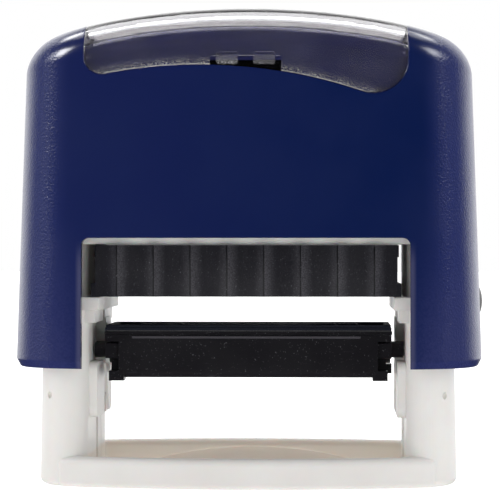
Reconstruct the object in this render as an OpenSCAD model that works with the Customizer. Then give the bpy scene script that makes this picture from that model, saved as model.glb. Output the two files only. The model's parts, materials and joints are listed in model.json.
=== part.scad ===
// Self-inking stamp for a 38 x 14 mm impression.
// X runs along the text line, the front is -Y, and Z = 0 is the paper.
// Rest pose: the cap is held down on its lock, with the die clear of the ink cartridge.

/* [Cap] */
// Width of the cap at its bottom edge
cap_w = 62.4; // [60:0.2:66]
// Depth of the cap at its bottom edge
cap_d = 36; // [35:0.5:40]
// Height of the cap's bottom edge above the paper
cap_z = 15.5; // [15:0.1:17]
// Height of the crest of the top
total_h = 62.3; // [61:0.1:66]
// Wall of the cap
cap_wall = 1.5; // [1.2:0.1:1.8]
// Radius along the top edges
top_r = 4.1; // [3.8:0.1:5]
// Radius of the crown, seen from the front
crown_r = 104; // [90:1:120]

/* [Cap cut-out] */
// Half-width of the cut-out in the front and rear walls
cut_x = 21.2; // [21:0.1:21.6]
// Top of the cut-out
cut_top = 32.4; // [32:0.1:33]

/* [Mechanism] */
// Height of the platen's axle
axle_z = 17.5; // [17:0.1:18]
// Radius of the axle pins
axle_r = 1; // [0.8:0.1:1.1]
// Distance from the axle to each cam pin
cam_e = 4.5; // [4:0.1:4.8]
// Distance from the axle to the printing face
die_rise = 3.4; // [3.2:0.1:3.5]

/* [Base] */
// Half-width of the columns
col_x = 27.7; // [27.4:0.1:28.1]
// Half-depth of the columns
col_y = 15.6; // [15.2:0.1:15.8]
// Height of the front and rear rails
rail_h = 4; // [3.5:0.1:5]
// Thickness of the rails
rail_t = 2.1; // [1.6:0.1:2.2]

/* [Ink cartridge] */
// Underside of the cartridge
pad_z = 24.8; // [24.6:0.1:25]
// Top of the cartridge
pad_top = 31.4; // [31:0.1:31.4]
// Number of ridges on each grip
ridges = 8; // [6:1:9]

/* [Hidden] */
$fn = 48;
eps = 0.01;

// Travel from the lock to the paper, and the turn of the platen over it
stroke = axle_z - die_rise;
draft = 0.034;
wall_h = 38;
plan_n = 96;
plan_p = 6;
plan_q = 3;

// Inside of the base, and what stands on it
wall_x = 20.8;
wall_t = 1.5;
column_q = 4;
corner_r = 3.2;
lug_x = 19.7;
lug_front = -10.8;
lug_rear = 9;
lug_bottom = 8.8;
lug_top = 21.3;
lug_r = 1.4;
shelf_x = 19.2;
shelf_y = 13.7;
shelf_t = 1.7;
web_x = 19.9;
web_y = 12;
frame_top = 31.6;
foot_h = 0.1;
pad_x = 23.9;
pad_y = 9.2;
rail_r = 76;
rail_y = cap_d / 2;
rail_mid_y = rail_y - rail_t / 2;
rail_end = 23.6;
arch_r = 59;
arch_depth = 0.5;
slot_half = axle_r + 0.2;
channel_x = 26.3;
channel_y = 5.6;
housing_top = 33.4;
housing_edge = 32.6;

// Inside of the cap
roof_z = 56.5;
neck_z = 47;
yoke_top = 56.2;
yoke_t = 1.6;
leg_in = 22.7;
leg_out = 25;
leg_half = 5;
post_x = 13;

// Index window
win_x = 21.3;
win_t = 1.2;
win_gap = 0.2;
win_drop = 2.2;
sweep_r = 65;
sweep_x = -6;
sweep_top = 54.7;
notch_x = 4.6;
hook_w = 2.6;
hook_mid = 2.3;

// Lock
lock_z = 24;
side_x = cap_w / 2 - draft * (lock_z - cap_z);
lock_r = 2.3;
lock_tip_r = 1.3;
lock_rise = 0.5;
dimple_r = 8.5;
dimple_depth = 1;

// Platen, text plate and die
carrier_x = 17.2;
end_x = 19;
platen_y = 7.5;
end_y = 6;
carrier_bottom = 13.9;
plate_z = 19.6;
foam_z = 20.05;
rubber_z = 20.2;
relief = 0.35;
die_z = axle_z + die_rise;
cam_pin_end = 20.6;
cam_half = 1.05;
cam_front = -7.1;
cam_rear = -2.4;
axle_in = 15.9;
axle_end = 24.6;

// Cartridge and spring
tray_x = 19.45;
flange_x = 20.1;
flange_t = 1.7;
tray_y = 15.2;
felt_x = 18.7;
felt_y = 8.4;
spring_r = 4.1;
wire_r = 0.375;
coils = 7;

// ---- shared shapes ----

// A rounded plan outline: flat front and rear, gently bowed sides
function plan(a, b) = [for (i = [0 : plan_n - 1])
    let (t = 360 * i / plan_n, c = cos(t), s = sin(t))
    [a * sign(c) * pow(abs(c), 2 / plan_p), b * sign(s) * pow(abs(s), 2 / plan_q)]];

function crown(x, drop) = total_h - drop - crown_r + sqrt(crown_r * crown_r - x * x);

function flat_ring(inset, z) =
    let (shrink = inset + draft * (z - cap_z))
    [for (p = plan(cap_w / 2 - shrink, cap_d / 2 - shrink)) [p[0], p[1], z]];

function fillet_ring(inset, drop, r, v) =
    let (shrink = inset + draft * wall_h + r * (1 - cos(v)))
    [for (p = plan(cap_w / 2 - shrink, cap_d / 2 - shrink))
        [p[0], p[1], crown(p[0], drop) - r + r * sin(v)]];

function body_rings(inset, drop, r, edge) = concat(
    [for (v = [0 : 30 : 90]) flat_ring(inset + edge * (1 - sin(v)), cap_z + edge * (1 - cos(v)))],
    [for (v = [0 : 10 : 90]) fillet_ring(inset, drop, r, v)]);

function side_faces(m) = [for (j = [0 : m - 2]) for (i = [0 : plan_n - 1]) for (half = [0, 1])
    let (k = (i + 1) % plan_n, a = j * plan_n + i, b = j * plan_n + k, c = b + plan_n, d = a + plan_n)
    half == 0 ? [a, d, c] : [a, c, b]];

function roof_faces(m) = let (o = (m - 1) * plan_n, h = plan_n / 2) concat(
    [[o, o + plan_n - 1, o + 1]],
    [for (i = [1 : h - 2]) [o + i, o + plan_n - i, o + plan_n - i - 1, o + i + 1]],
    [[o + h - 1, o + h + 1, o + h]]);

// The cap's outer form, inset all round and lowered at the top
module crowned_body(inset, drop, r, edge = 0.6) {
    rings = body_rings(inset, drop, r, edge);
    m = len(rings);
    polyhedron(points = [for (ring = rings) each ring],
               faces = concat([[for (i = [0 : plan_n - 1]) i]], side_faces(m), roof_faces(m)));
}

// A block given by its low and high corners
module block(low, high) {
    translate(low) cube(high - low);
}

module both_sides() {
    children();
    mirror([1, 0, 0]) children();
}

module front_and_rear() {
    children();
    rotate([0, 0, 180]) children();
}

// A cylinder along X between two stations
module rod_x(r, x0, x1, y, z) {
    translate([x0, y, z]) rotate([0, 90, 0]) cylinder(r = r, h = x1 - x0);
}

// A rectangle seen along X (y across, z up), extruded between two stations
module plate_x(x0, x1) {
    translate([x0, 0, 0]) rotate([90, 0, 90]) linear_extrude(x1 - x0) children();
}

// ---- base ----

module rounded_rect(low, high, r) {
    hull() for (x = [low[0] + r, high[0] - r]) for (y = [low[1] + r, high[1] - r])
        translate([x, y]) circle(r = r, $fn = 32);
}

// Centre of a cam pin, seen along X, with the cap pressed down by t
function cam_point(t) = let (turn = 180 * t / stroke)
    [-cam_e * cos(turn), axle_z - t + cam_e * sin(turn)];

// Places along the cam pin's path, spread so that the outline stays clean at its sharp start
cam_path = [for (k = [0, 3, 4, 5, 6, 7, 8, 9, 10, 11, 12]) cam_point(stroke * k / 12)];

function unit(a) = [cos(a), sin(a)];

function heading(path, i) =
    let (d = path[min(i + 1, len(path) - 1)] - path[max(i - 1, 0)]) atan2(d[1], d[0]);

// The room that a pin of radius w sweeps along a path
module thick_path(path, w) {
    last = len(path) - 1;
    polygon(concat(
        [for (v = [270 : -15 : 90]) path[0] + w * unit(heading(path, 0) + v)],
        [for (i = [1 : last - 1]) path[i] + w * unit(heading(path, i) + 90)],
        [for (v = [90 : -15 : -90]) path[last] + w * unit(heading(path, last) + v)],
        [for (i = [last - 1 : -1 : 1]) path[i] + w * unit(heading(path, i) - 90)]));
}

// A slot through a wall along X, with round ends
module slot_x(r, x0, x1, z0, z1) {
    block([x0, -r, z0], [x1, r, z1]);
    for (z = [z0, z1]) rod_x(r, x0, x1, 0, z);
}

module axle_slot(x0, x1) {
    slot_x(slot_half, x0, x1, axle_z - stroke - 0.1, lug_top + 0.3);
}

function arc(centre, r, from, to, steps = 4) =
    [for (k = [0 : steps]) centre + r * unit(from + (to - from) * k / steps)];

// The raised cam lugs on one side wall, before the pin's track is cut: low at the front, high behind
module cam_lugs() {
    step_z = axle_z - 1.4;
    high_z = lug_top + 0.4;
    plate_x(lug_x, wall_x + 0.3) polygon(concat(
        arc([lug_front + lug_r, lug_bottom + lug_r], lug_r, 180, 270),
        arc([lug_rear - lug_r, lug_bottom + lug_r], lug_r, 270, 360),
        arc([lug_rear - lug_r, high_z - lug_r], lug_r, 0, 90),
        [[0.3, high_z], [0.3, step_z]],
        arc([lug_front + lug_r, step_z - lug_r], lug_r, 90, 180)));
}

// Plan of the right column: bowed outside, with wide rounded corners at the side wall
function column_outline() =
    let (corner_x = wall_x + corner_r, spread = acos(pow(corner_x / col_x, plan_p / 2)),
         corner_y = col_y * pow(sin(spread), 2 / column_q) - corner_r)
    concat(
        arc([corner_x, corner_y], corner_r, 90, 180, 8),
        arc([corner_x, -corner_y], corner_r, 180, 270, 8),
        [for (k = [-11 : 11]) let (v = spread * k / 12)
            [col_x * pow(cos(v), 2 / plan_p), col_y * sign(v) * pow(abs(sin(v)), 2 / column_q)]]);

// One hollow column, with its side wall, shelf and cam lugs
module column() {
    difference() {
        union() {
            linear_extrude_at(foot_h, frame_top) polygon(column_outline());
            block([shelf_x, -shelf_y, pad_z - 0.1 - shelf_t], [wall_x + corner_r, shelf_y, pad_z - 0.1]);
            block([web_x, -web_y, lug_top], [wall_x + wall_t / 2, web_y, pad_z - shelf_t]);
            cam_lugs();
        }
        block([wall_x + wall_t, -channel_y, -1], [channel_x, channel_y, frame_top + 1]);
        for (y = [-9.3, 9.3])
            block([wall_x + wall_t, y - 2.2, foot_h + 1.6], [25, y + 2.2, frame_top + 1]);
        axle_slot(lug_x - 1, wall_x + wall_t + 1);
        plate_x(lug_x - 1, wall_x + 0.05) thick_path(cam_path, axle_r + 0.2);
    }
}

// Plan of the front rail: a band along an arc, with round ends
function rail_outline() =
    let (centre = [0, rail_r - rail_mid_y], w = rail_t / 2, spread = asin(rail_end / rail_r),
         left = centre + rail_r * unit(270 - spread), right = centre + rail_r * unit(270 + spread))
    concat(
        arc(centre, rail_r + w, 270 - spread, 270 + spread, 32),
        [for (v = [20 : 20 : 160]) right + w * unit(270 + spread + v)],
        arc(centre, rail_r - w, 270 + spread, 270 - spread, 32),
        [for (v = [20 : 20 : 160]) left + w * unit(90 - spread + v)]);

// The bowed rail across the front of the base
module rail() {
    linear_extrude_at(foot_h, rail_h) polygon(rail_outline());
}

// A shallow arched relief in the inner face of the rail
module rail_arch() {
    intersection() {
        translate([0, 0, 2.9 - arch_r]) rotate([90, 0, 0]) cylinder(r = arch_r, h = 30, $fn = 240);
        translate([0, rail_r - rail_mid_y, 0])
            cylinder(r = rail_r - rail_t / 2 + arch_depth, h = rail_h, $fn = 240);
    }
}

module base_frame() {
    color("whitesmoke") difference() {
        union() {
            both_sides() column();
            front_and_rear() rail();
        }
        front_and_rear() rail_arch();
        for (x = [-1, 1]) for (y = [-1, 1]) translate([x * pad_x, y * pad_y, 0]) foot_pad_shape(0.05);
        // slot in the right-hand column for the lock's tip: its top end is the catch
        slot_x(lock_tip_r + 0.15, channel_x - 1, col_x + 1, lock_z - stroke - 0.3, lock_z);
    }
}

module foot_pad_shape(gap) {
    linear_extrude(foot_h + 0.5 + gap) rounded_rect([-1.7 - gap, -2 - gap], [1.7 + gap, 2 + gap], 1.2);
}

module foot_pads() {
    color("gainsboro") for (x = [-1, 1]) for (y = [-1, 1])
        translate([x * pad_x, y * pad_y, 0]) foot_pad_shape(0);
}

// The bridge over the cartridge, which the return spring stands on
module pad_housing() {
    color("whitesmoke") difference() {
        union() {
            linear_extrude_at(frame_top, housing_edge) rounded_rect([-22, -14.2], [22, 14.2], 0.8);
            linear_extrude_at(frame_top, housing_top) rounded_rect([-20.5, -12.2], [20.5, 12.2], 0.8);
            translate([0, 0, housing_top - eps]) cylinder(r = spring_r - wire_r - 0.25, h = 4);
            for (x = [-16, 16])
                block([x - 0.6, -11.4, housing_top - eps], [x + 0.6, 11.4, housing_top + 1.2]);
            translate([0, 0, housing_top - eps]) difference() {
                cylinder(r = 6.2, h = 1.2);
                translate([0, 0, -1]) cylinder(r = spring_r + wire_r + 0.4, h = 4);
            }
        }
        translate([0, 0, frame_top - 1]) cylinder(r = 1.6, h = 9);
    }
}

module linear_extrude_at(z0, z1) {
    translate([0, 0, z0]) linear_extrude(z1 - z0) children();
}

// Return spring: a round wire swept along a helix whose end turns lie flat
module return_spring() {
    z0 = housing_top + wire_r + 0.02;
    z1 = yoke_top - yoke_t - wire_r - 0.02;
    sides = 8;
    turns = coils + 1.5;
    rings = turns * 16;
    function lift(u) = let (s = min(max((u * turns - 0.75) / coils, 0), 1)) z0 + (z1 - z0) * s;
    function wire(i) = let (u = i / rings, t = 360 * turns * u)
        [for (k = [0 : sides - 1]) let (v = 360 * k / sides, q = spring_r + wire_r * cos(v))
            [q * cos(t), q * sin(t), lift(u) + wire_r * sin(v)]];
    color("silver") polyhedron(
        points = [for (i = [0 : rings]) each wire(i)],
        faces = concat(
            [[for (k = [sides - 1 : -1 : 0]) k]],
            [for (i = [0 : rings - 1]) for (k = [0 : sides - 1]) for (half = [0, 1])
                let (a = i * sides + k, b = i * sides + (k + 1) % sides, c = b + sides, d = a + sides)
                half == 0 ? [a, b, c] : [a, c, d]],
            [[for (k = [0 : sides - 1]) rings * sides + k]]));
}

// ---- cap ----

// Outline of the index window, seen from the front
module window_outline(grow) {
    module raw() {
        difference() {
            translate([-win_x - grow, 45]) square([2 * (win_x + grow), 25]);
            translate([sweep_x, sweep_top - sweep_r - grow]) circle(r = sweep_r, $fn = 240);
        }
    }
    module corner(r, x0) {
        intersection() {
            offset(r = r) offset(delta = -r) raw();
            translate([x0, 40]) square([30, 26]);
        }
    }
    corner(2.4, -30);
    corner(4.5, 0);
}

// The space over the front half and the rear half that the window covers
module window_space(grow) {
    front_and_rear() rotate([90, 0, 0]) linear_extrude(30) window_outline(grow);
}

// The hollow of the cap: wide below, narrower behind the window's flaps
module cap_hollow() {
    linear_hull([[cap_z - 1, cap_wall], [neck_z, cap_wall - 0.4]]);
    linear_hull([[neck_z - 0.1, cap_wall + 0.4], [neck_z + 0.1, cap_wall + 1.5], [roof_z - 3.5, cap_wall + 1.9],
                 [roof_z, cap_wall + 2.9]]);
}

// Hull through plan outlines, each given as [height, inset]
module linear_hull(levels) {
    hull() for (l = levels) translate([0, 0, l[0]])
        linear_extrude(eps) polygon(plan(cap_w / 2 - l[1] - draft * (l[0] - cap_z),
                                         cap_d / 2 - l[1] - draft * (l[0] - cap_z)));
}

module hook_channels(gap) {
    for (x = [-hook_mid, hook_mid])
        block([x - hook_w / 2 - gap, -cap_d / 2, sweep_top - 0.5], [x + hook_w / 2 + gap, -13.9, 65]);
}

module cap_shell() {
    color("midnightblue") difference() {
        union() {
            difference() {
                crowned_body(0, 0, top_r);
                cap_hollow();
            }
            // heat-staked posts that hold the yoke
            both_sides() translate([post_x, 0, 0]) {
                linear_extrude_at(yoke_top - yoke_t - 0.8, roof_z + eps) circle(r = 1.5);
                linear_extrude_at(yoke_top - yoke_t - 0.9, yoke_top - yoke_t - 0.1) circle(r = 2.2);
            }
            // seats for the lock's leaf spring
            for (y = [-5.6, 5.6]) translate([0, y, 0])
                block([29.1, -0.8, lock_z - 1.5], [side_x - 0.6, 0.8, lock_z + 1.5]);
        }
        // cut-outs in the front and rear walls
        front_and_rear() rotate([90, 0, 0]) translate([0, 0, 11]) linear_extrude(20)
            rounded_rect([-cut_x, 0], [cut_x, cut_top], 1);
        // recess for the window, its hooks and a fingernail
        difference() {
            window_space(0);
            crowned_body(win_t + win_gap, win_drop, top_r - 1.4);
        }
        front_and_rear() {
            intersection() {
                block([-notch_x, -cap_d / 2, sweep_top - 1.6], [notch_x, -14.9, sweep_top + 1.7]);
                rotate([90, 0, 0]) linear_extrude(30) window_outline(0);
            }
            intersection() {
                hook_channels(0.15);
                crowned_body(0, 0, top_r);
                block([-10, -18, 50], [10, -15.1, 60]);
            }
        }
        // dimple and hole for the lock button
        translate([side_x + dimple_r - dimple_depth, 0, lock_z]) sphere(r = dimple_r, $fn = 96);
        rod_x(lock_r + 0.1, 20, 40, 0, lock_z);
    }
}

module index_window() {
    color([0.9, 0.93, 0.95, 0.35]) {
        difference() {
            intersection() {
                crowned_body(0, 0, top_r);
                window_space(-0.08);
            }
            crowned_body(win_t, win_t, top_r - win_t);
            front_and_rear() block([-notch_x, -20, 40], [notch_x, -10, sweep_top - 0.1]);
        }
        front_and_rear() for (x = [-hook_mid, hook_mid])
            block([x - hook_w / 2, -16.2, sweep_top + 0.1], [x + hook_w / 2, -15.3, sweep_top + 1.4]);
    }
}

module index_card() {
    top = total_h - win_drop + 0.08;
    color("ivory") translate([0, 0, top - crown_r]) difference() {
        intersection() {
            rotate([90, 0, 0]) cylinder(r = crown_r + 0.25, h = 19, center = true, $fn = 360);
            block([-20.3, -9.5, 0], [20.3, 9.5, crown_r + 5]);
        }
        rotate([90, 0, 0]) cylinder(r = crown_r, h = 40, center = true, $fn = 360);
    }
}

// The bracket inside the cap that carries the platen's axle
module yoke() {
    z1 = yoke_top;
    color("gainsboro") difference() {
        union() {
            block([-leg_out, -6, z1 - yoke_t], [leg_out, 6, z1]);
            both_sides() {
                block([leg_in, -leg_half, axle_z + 2.5], [leg_out, leg_half, z1]);
                rod_x(leg_half, leg_in, leg_out, 0, axle_z + 2.5);
            }
            translate([0, 0, z1 - yoke_t - 2]) cylinder(r = spring_r - wire_r - 0.25, h = 2 + eps);
            for (y = [-5.4, 5.4]) block([-leg_in, y - 0.6, z1 - yoke_t - 1.2], [leg_in, y + 0.6, z1 - yoke_t + eps]);
        }
        both_sides() {
            translate([post_x, 0, 0]) linear_extrude_at(z1 - 5, z1 + 1) circle(r = 1.6);
            plate_x(leg_in - 1, leg_out + 1) rounded_rect([-2.6, axle_z + 7], [2.6, z1 - 4], 1.5);
            rod_x(axle_r + 0.08, leg_in - 1, leg_out + 1, 0, axle_z);
        }
    }
}

module lock_button() {
    head = side_x + lock_rise;
    dome_r = 4.8;
    color("dimgray") {
        rod_x(lock_tip_r, 26.9, 29.3, 0, lock_z);
        translate([29.2, 0, lock_z]) rotate([90, 0, 90]) rotate_extrude() polygon(concat(
            [[0, 0], [lock_r, 0]],
            [for (k = [0 : 8]) let (q = lock_r * (1 - k / 8))
                [q, head - 29.2 - dome_r + sqrt(dome_r * dome_r - q * q)]]));
    }
}

module lock_leaf_spring() {
    color("silver") difference() {
        block([28.75, -6.4, lock_z - 1.5], [29.05, 6.4, lock_z + 1.5]);
        rod_x(lock_tip_r + 0.1, 28, 30, 0, lock_z);
    }
}

// ---- platen ----

module platen_carrier() {
    color("black") difference() {
        union() {
            plate_x(-carrier_x, carrier_x) carrier_section();
            both_sides() {
                block([carrier_x - eps, -platen_y, plate_z - 0.9], [end_x, platen_y, plate_z]);
                rod_x(1.95, carrier_x - eps, end_x, 0, axle_z);
                block([carrier_x - eps, -1.2, axle_z], [end_x, 1.2, plate_z]);
                block([carrier_x - eps, -end_y, carrier_bottom + 0.4], [end_x - 0.7, end_y, plate_z]);
                block([16.5, -platen_y, 13.5], [18.5, -4.6, 14.8]);
                block([16.5, 4.6, 13.9], [end_x + 0.3, platen_y, 15.2]);
            }
        }
        for (x = [-11.4, 0, 11.4]) translate([x, 0, 0])
            block([-4.9, -platen_y + 1.3, 13], [4.9, platen_y - 1.3, plate_z - 1.4]);
        both_sides() {
            rod_x(axle_r + 0.02, axle_in, end_x + 1, 0, axle_z);
            // seat for the cam block
            block([carrier_x, -platen_y - 1, axle_z - cam_half - 0.05],
                  [end_x + 1, cam_rear + 0.05, axle_z + cam_half + 0.05]);
        }
    }
}

// Section of the carrier, seen along X: its lower edges are rounded
module carrier_section() {
    polygon(concat(
        [[platen_y, plate_z], [-platen_y, plate_z]],
        [for (v = [0 : 15 : 90]) [-platen_y + 1.2 * (1 - cos(v)), carrier_bottom + 1.2 * (1 - sin(v))]],
        [for (v = [90 : -15 : 0]) [platen_y - 1.2 * (1 - cos(v)), carrier_bottom + 1.2 * (1 - sin(v))]]));
}

module axle_right() {
    color("black") rod_x(axle_r, axle_in + 0.05, axle_end, 0, axle_z);
}

module axle_left() {
    mirror([1, 0, 0]) axle_right();
}

// A cam block on the end of the carrier, with the pin that runs in the lugs' track
module flip_cam_right() {
    color("black") {
        plate_x(carrier_x + 0.01, end_x)
            rounded_rect([cam_front, axle_z - cam_half], [cam_rear, axle_z + cam_half], 0.3);
        rod_x(axle_r, end_x - eps, cam_pin_end, -cam_e, axle_z);
    }
}

module flip_cam_left() {
    mirror([1, 0, 0]) flip_cam_right();
}

module text_plate() {
    color("black") linear_extrude_at(plate_z + 0.01, foam_z)
        rounded_rect([-end_x - 0.1, -platen_y], [end_x + 0.1, platen_y], 0.6);
}

module adhesive_foam() {
    color("dimgray") linear_extrude_at(foam_z + 0.005, rubber_z)
        rounded_rect([-end_x, -platen_y + 0.1], [end_x, platen_y - 0.1], 0.5);
}

// The printing rubber: a raised border and plain bars stand for the text
module rubber_die() {
    color("darkslategray") {
        linear_extrude_at(rubber_z + 0.005, die_z - relief)
            rounded_rect([-end_x, -platen_y + 0.1], [end_x, platen_y - 0.1], 0.5);
        linear_extrude_at(die_z - relief - eps, die_z) {
            difference() {
                rounded_rect([-18.8, -7], [18.8, 7], 0.9);
                rounded_rect([-18.2, -6.4], [18.2, 6.4], 0.5);
            }
            for (row = [[3.6, 11], [0, 15], [-3.6, 9]])
                translate([-row[1], row[0] - 0.8]) square([2 * row[1], 1.6]);
        }
    }
}

// ---- ink cartridge ----

// Front grip, seen from above: ridges with hollows between them
function grip_edge(x) = let (pitch = 2 * tray_x / (ridges + 0.55))
    -tray_y + 0.55 * pow(abs(sin(180 * x / pitch + (ridges % 2 == 0 ? 90 : 0))), 0.8);

module grip() {
    steps = 152;
    linear_extrude_at(pad_z, pad_top) polygon(concat(
        [for (k = [0 : steps]) let (x = -tray_x + 2 * tray_x * k / steps) [x, grip_edge(x)]],
        [[tray_x, -felt_y - 1], [-tray_x, -felt_y - 1]]));
}

module cartridge_tray() {
    color([0.12, 0.12, 0.13]) difference() {
        union() {
            front_and_rear() grip();
            block([-tray_x, -felt_y - 1.1, pad_z], [tray_x, felt_y + 1.1, pad_top]);
            block([-flange_x, -tray_y + 0.6, pad_z], [flange_x, tray_y - 0.6, pad_z + flange_t]);
        }
        block([-felt_x, -felt_y, pad_z - 1], [felt_x, felt_y, pad_top - 1.3]);
        for (y = [-1, 1]) translate([0, y * 12.1, 0])
            block([-17.5, -2, pad_z - 1], [17.5, 2, pad_top - 1.3]);
    }
}

module ink_felt() {
    color("navy") block([-felt_x + 0.05, -felt_y + 0.05, pad_z + 0.2], [felt_x - 0.05, felt_y - 0.05, pad_top - 1.32]);
}

base_frame();
pad_housing();
foot_pads();
return_spring();
cap_shell();
yoke();
index_card();
lock_leaf_spring();
index_window();
lock_button();
platen_carrier();
axle_left();
axle_right();
flip_cam_left();
flip_cam_right();
text_plate();
adhesive_foam();
rubber_die();
cartridge_tray();
ink_felt();
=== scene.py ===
"""Self-inking stamp: materials, finer meshes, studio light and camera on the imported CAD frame."""

import json
import math

import bmesh
import bpy
import numpy as np
from mathutils import Matrix, Vector

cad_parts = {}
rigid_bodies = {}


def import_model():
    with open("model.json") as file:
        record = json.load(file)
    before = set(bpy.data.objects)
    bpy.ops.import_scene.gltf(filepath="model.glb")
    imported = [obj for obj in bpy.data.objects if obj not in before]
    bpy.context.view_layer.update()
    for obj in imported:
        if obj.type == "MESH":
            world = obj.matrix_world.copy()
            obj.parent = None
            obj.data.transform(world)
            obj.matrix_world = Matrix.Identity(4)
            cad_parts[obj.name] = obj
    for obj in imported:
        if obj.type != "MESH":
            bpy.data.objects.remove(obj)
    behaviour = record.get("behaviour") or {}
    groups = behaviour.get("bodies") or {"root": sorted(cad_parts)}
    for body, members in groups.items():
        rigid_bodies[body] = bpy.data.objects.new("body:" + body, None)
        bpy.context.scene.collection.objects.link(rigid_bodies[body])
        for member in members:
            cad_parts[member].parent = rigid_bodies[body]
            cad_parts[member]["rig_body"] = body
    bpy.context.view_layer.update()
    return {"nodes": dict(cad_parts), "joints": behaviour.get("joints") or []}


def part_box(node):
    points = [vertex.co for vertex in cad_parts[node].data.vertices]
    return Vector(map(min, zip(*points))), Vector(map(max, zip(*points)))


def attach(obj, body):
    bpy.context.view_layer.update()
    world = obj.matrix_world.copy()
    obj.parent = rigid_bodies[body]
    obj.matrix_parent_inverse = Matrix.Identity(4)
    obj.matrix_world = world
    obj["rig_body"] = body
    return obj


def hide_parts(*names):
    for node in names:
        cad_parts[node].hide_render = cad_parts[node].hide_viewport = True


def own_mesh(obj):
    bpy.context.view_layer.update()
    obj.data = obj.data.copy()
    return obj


MM = 0.001  # one millimetre in metres

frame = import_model()
nodes = frame["nodes"]


def joint(name):
    return next(joint for joint in frame["joints"] if joint["name"] == name)


def cad_span(node):
    """Lowest and highest corner of a CAD node, in millimetres."""
    low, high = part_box(node)
    return low / MM, high / MM


# ---- sizes, in millimetres ----

# Base: half width and half depth, how square the plan is, taper and the round corners at the side walls.
COLUMN_HALF, COLUMN_POWERS = (27.7, 15.8), (6, 5)
COLUMN_DRAFT, CORNER_R = 0.018, 2.7
FRAME_LOW, FRAME_TOP = (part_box("base_frame")[k].z / MM for k in (0, 1))
FOOT_LOW = 0.06
# Side walls: inner face and thickness. The yoke's legs run down a channel behind them.
WALL_X, WALL_T = 20.8, 1.5
CHANNEL_X, CHANNEL_HALF_Y = 26.3, 5.6
# Lightening cores on both sides of the channel.
CORE_X, CORE_Y, CORE_HALF_Y, CORE_FLOOR = 25.0, 9.3, 2.2, 1.6
# Shelves under the cartridge: inner edge, half depth, lower and upper face.
SHELF_X, SHELF_HALF_Y, SHELF_LOW, SHELF_TOP = 19.2, 13.7, 23.0, 24.7
# Lugs that hold the cam tracks: inner face, top, bottom, front and rear edge, corner radius.
LUG_X, LUG_TOP, LUG_BOTTOM = 19.7, 21.7, 8.8
LUG_FRONT, LUG_REAR, LUG_R = -10.8, 9.0, 1.4
# Rails: height, half thickness, radius of the bow, half span and middle line.
RAIL_TOP, RAIL_HALF_T, RAIL_R, RAIL_END = 4.0, 1.05, 76.0, 23.6
RAIL_MID = -17.98 + RAIL_HALF_T
# Shallow arch in the inner face of each rail.
ARCH_R, ARCH_TOP = 59.0, 2.9
# Small round mark in the front of each column.
MARK_R, MARK_PLACE = 0.45, (25.7, -12.35, 11.9)
# Pockets for the foot pads.
PAD_X, PAD_Y, PAD_HALF, PAD_R, PAD_TOP = 23.9, 9.2, (1.75, 2.05), 1.2, 0.85

# Mechanism: height of the platen's axle, travel of the cap, radius of the pins and the room round them,
# and the cam pin's distance from the axle.
AXLE_Z = (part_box("axle_right")[0].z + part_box("axle_right")[1].z) / 2 / MM
STROKE = joint("cap_press")["range_m"][1] / MM
PIN_R, PIN_ROOM = 1.0, 0.2
CAM_REACH = 4.5

# Cap: foot, half width and half depth, top, radius of its crown, rounded top edge, taper, plan, cut-outs.
CAP_LOW, CAP_HIGH = (np.array(corner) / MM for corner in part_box("cap_shell"))
CAP_Z = CAP_LOW[2]
CAP_HALF = (CAP_HIGH[0], 18.0)
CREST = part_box("index_window")[1].z / MM
CROWN_R, TOP_R = 104, 4.1
DRAFT, WALL_H = 0.034, 38
PLAN_POWERS, PLAN_POINTS = (6, 3), 240
CUT_HALF, CUT_TOP = 21.2, 32.4
# Lock: height of the button, radius of its hole, radius of the finger dimple and its centre's distance out.
LOCK_Z, LOCK_R, DIMPLE_R, DIMPLE_OUT = 24, 2.4, 8.5, 7.5

# Index window: half width, wall, swept lower edge, radii of its left and right lower corner,
# and at its middle the notch with two tabs over the pry slot.
WINDOW_HALF, GLASS_T = 20.95, 1.2
SWEEP_R = 65
SWEEP_CENTRE = (-6.0, 54.7 - SWEEP_R)
WINDOW_CORNERS = (2.4, 4.5)
SLOT_HALF, SLOT_LOW, SLOT_TOP = 4.6, 53.1, 55.3
TAB_X, TAB_HALF, TAB_LOW, TAB_TOP = 2.4, 1.4, 54.85, 56.4
TAB_FRONT, TAB_REAR, NOTCH_TOP = -16.6, -15.4, 55.9
# Floor of the recess that the window lies in: how far in and how far down.
RECESS_IN, RECESS_DOWN = 1.4, 2.2

# Cartridge: half width and half depth, top, thickness of roof and flange, room for the felt,
# a lightening core on both sides of it, and the flutes of the grip.
TRAY_HALF, TRAY_TOP, TRAY_ROOF, FLANGE_T = (19.6, 15.16), 31.52, 1.3, 1.7
FELT_HALF, TRAY_CORE_HALF, TRAY_CORE_Y = (18.7, 8.4), (17.5, 2), 12.1
FLUTES, FLUTE_PITCH, FLUTE_DEPTH = 7, 4.77, 0.6

# Platen: half width and half depth of its body, underside, face, ends, rounded lower edges, axle bosses.
CARRIER_HALF, CARRIER_LOW, PLATE_Z = (17.2, 7.5), 13.9, 19.6
END_INNER, END_X, EDGE_R, BOSS_R = 17.1, 19.0, 1.2, 1.95
CARRIER_PIECES = {
    "wing": ((END_INNER, -7.5, 18.7), (END_X, 7.5, PLATE_Z)),
    "web": ((END_INNER, -6.0, 14.3), (18.3, 6.0, PLATE_Z)),
    "gusset": ((END_INNER, -1.2, AXLE_Z), (END_X, 1.2, PLATE_Z - 0.1)),
    "front_foot": ((16.5, -7.45, 13.5), (18.5, -4.6, 14.8)),
    "rear_foot": ((16.5, 4.6, CARRIER_LOW), (19.3, 7.45, 15.2)),
}


# ---- meshes ----


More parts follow.
